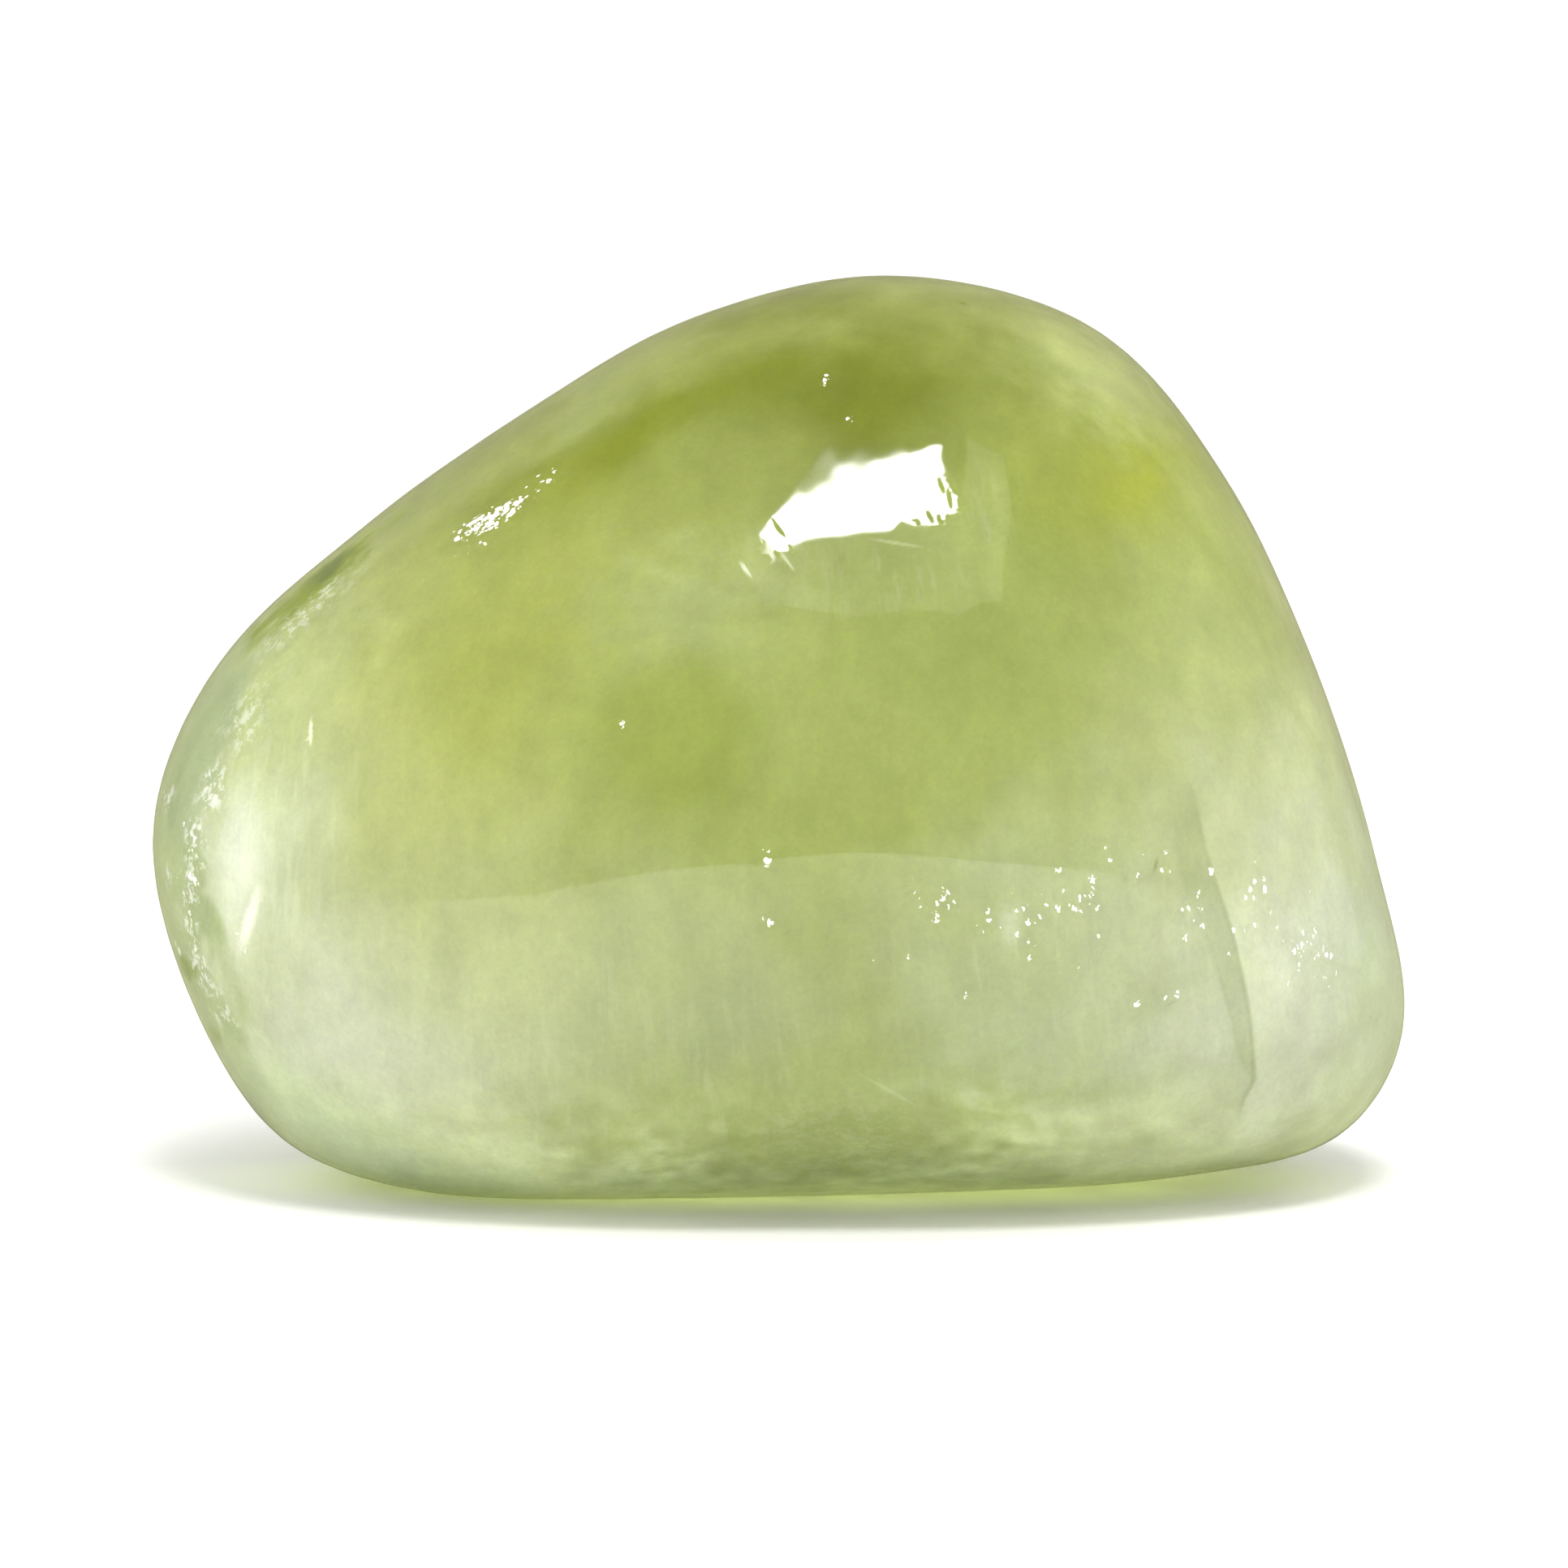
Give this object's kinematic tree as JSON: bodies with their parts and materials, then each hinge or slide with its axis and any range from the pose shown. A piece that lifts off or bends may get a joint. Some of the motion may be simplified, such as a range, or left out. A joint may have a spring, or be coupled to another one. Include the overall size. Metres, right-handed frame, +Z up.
{
  "type": "polished apophyllite crystal",
  "caption": "Tumbled, polished yellow-green translucent stone, a rounded fin with a long slope, a blunt heel and a small flat to lie on.",
  "frame": {"origin": "on the surface the stone lies on, under the middle of its bounding box", "axes": "+X along the stone from its nose to its heel, +Y from its front face to its back face, +Z up"},
  "size_m": [0.03, 0.0204, 0.0215],
  "materials": {
    "crystal": "polished"
  },
  "bodies": {
    "root": {"polished_stone": "crystal"}
  },
  "joints": []
}
